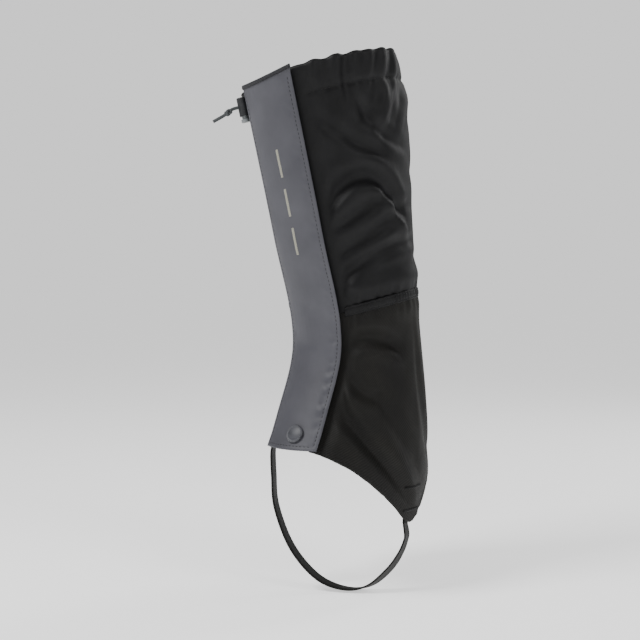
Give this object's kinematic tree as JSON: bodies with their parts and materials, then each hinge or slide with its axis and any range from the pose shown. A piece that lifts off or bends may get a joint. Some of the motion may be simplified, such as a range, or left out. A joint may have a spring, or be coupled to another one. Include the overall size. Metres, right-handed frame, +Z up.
{
  "type": "knee-high gaiter",
  "caption": "Tall front-closing gaiter: fabric leg tube with a lined hook-and-loop flap and snap, drawcord top hem with cord lock, elastic ankle band, lace hook and instep strap.",
  "frame": {"origin": "on the leg's axis, level with the lower side point's strap pivot, where the boot's side would be", "axes": "+Z up the leg, -Y towards the toes, +X towards the side on which the front flap is sewn"},
  "size_m": [0.1335, 0.1915, 0.4708],
  "materials": {
    "black_softshell": "smooth stretch-woven nylon, matt",
    "black_pack_cloth": "coarse plain-woven nylon, dull",
    "grey_coated_nylon": "coated nylon cloth, faint sheen",
    "grey_binding": "folded nylon tape",
    "elastic_tape": "knitted elastic",
    "loop_tape": "brushed loop pile",
    "hook_tape": "moulded nylon hooks",
    "cord": "braided polyester cord",
    "black_thread": "dense bonded nylon stitching",
    "coated_strap": "coated webbing, satin",
    "black_enamelled_metal": "satin black enamel",
    "plated_steel": "dull nickel plate",
    "black_acetal": "moulded acetal",
    "grey_acetal": "moulded acetal"
  },
  "bodies": {
    "shell": {"upper_panel": "black_softshell", "lower_panel": "black_pack_cloth", "top_hem": "black_softshell", "lower_hem_facing": "black_pack_cloth", "mid_band": "black_softshell", "mid_elastic": "elastic_tape", "front_facing_far": "black_softshell", "front_facing_near": "black_softshell", "loop_strip": "loop_tape", "drawcord": "cord", "cord_end_stitching": "black_thread", "cord_eyelet": "black_enamelled_metal", "drawcord_tail": "cord", "drawcord_knot": "cord", "snap_stud": "black_enamelled_metal", "snap_post": "black_enamelled_metal", "lace_hook": "plated_steel", "lace_hook_rivet": "plated_steel", "strap_anchor_near": "coated_strap", "strap_anchor_far": "coated_strap", "strap_bartacks": "black_thread"},
    "flap": {"flap_shell": "grey_coated_nylon", "flap_lining": "grey_coated_nylon", "flap_edge_binding": "grey_binding", "hook_strip": "hook_tape", "snap_cap": "black_enamelled_metal", "snap_socket": "black_enamelled_metal"},
    "strap": {"instep_strap": "coated_strap"},
    "cord_lock": {"cord_lock_body": "black_acetal", "cord_lock_spring": "plated_steel"},
    "lock_button": {"cord_lock_button": "grey_acetal"}
  },
  "joints": [
    {"name": "flap_hinge", "type": "hinge", "parent": "shell", "child": "flap", "pos_m": [0.0285, -0.05436, 0.06694], "axis": [0, -0.0837, 0.9965], "range_deg": [0, 65]},
    {"name": "strap_swing", "type": "hinge", "parent": "shell", "child": "strap", "pos_m": [0.05863, 0.00291, 0], "axis": [-0.7464, -0.4326, 0.5058], "range_deg": [-40, 40]},
    {"name": "cord_lock_slide", "type": "slide", "parent": "shell", "child": "cord_lock", "axis": [-0.6085, -0.7658, -0.2079], "range_m": [0, 0.0044]},
    {"name": "lock_button", "type": "slide", "parent": "cord_lock", "child": "lock_button", "axis": [-0.1293, -0.1628, 0.9781], "range_m": [0, 0.0024], "stiffness_N_per_m": 400, "springref_m": -0.0015, "deforming": ["cord_lock_spring"]}
  ]
}
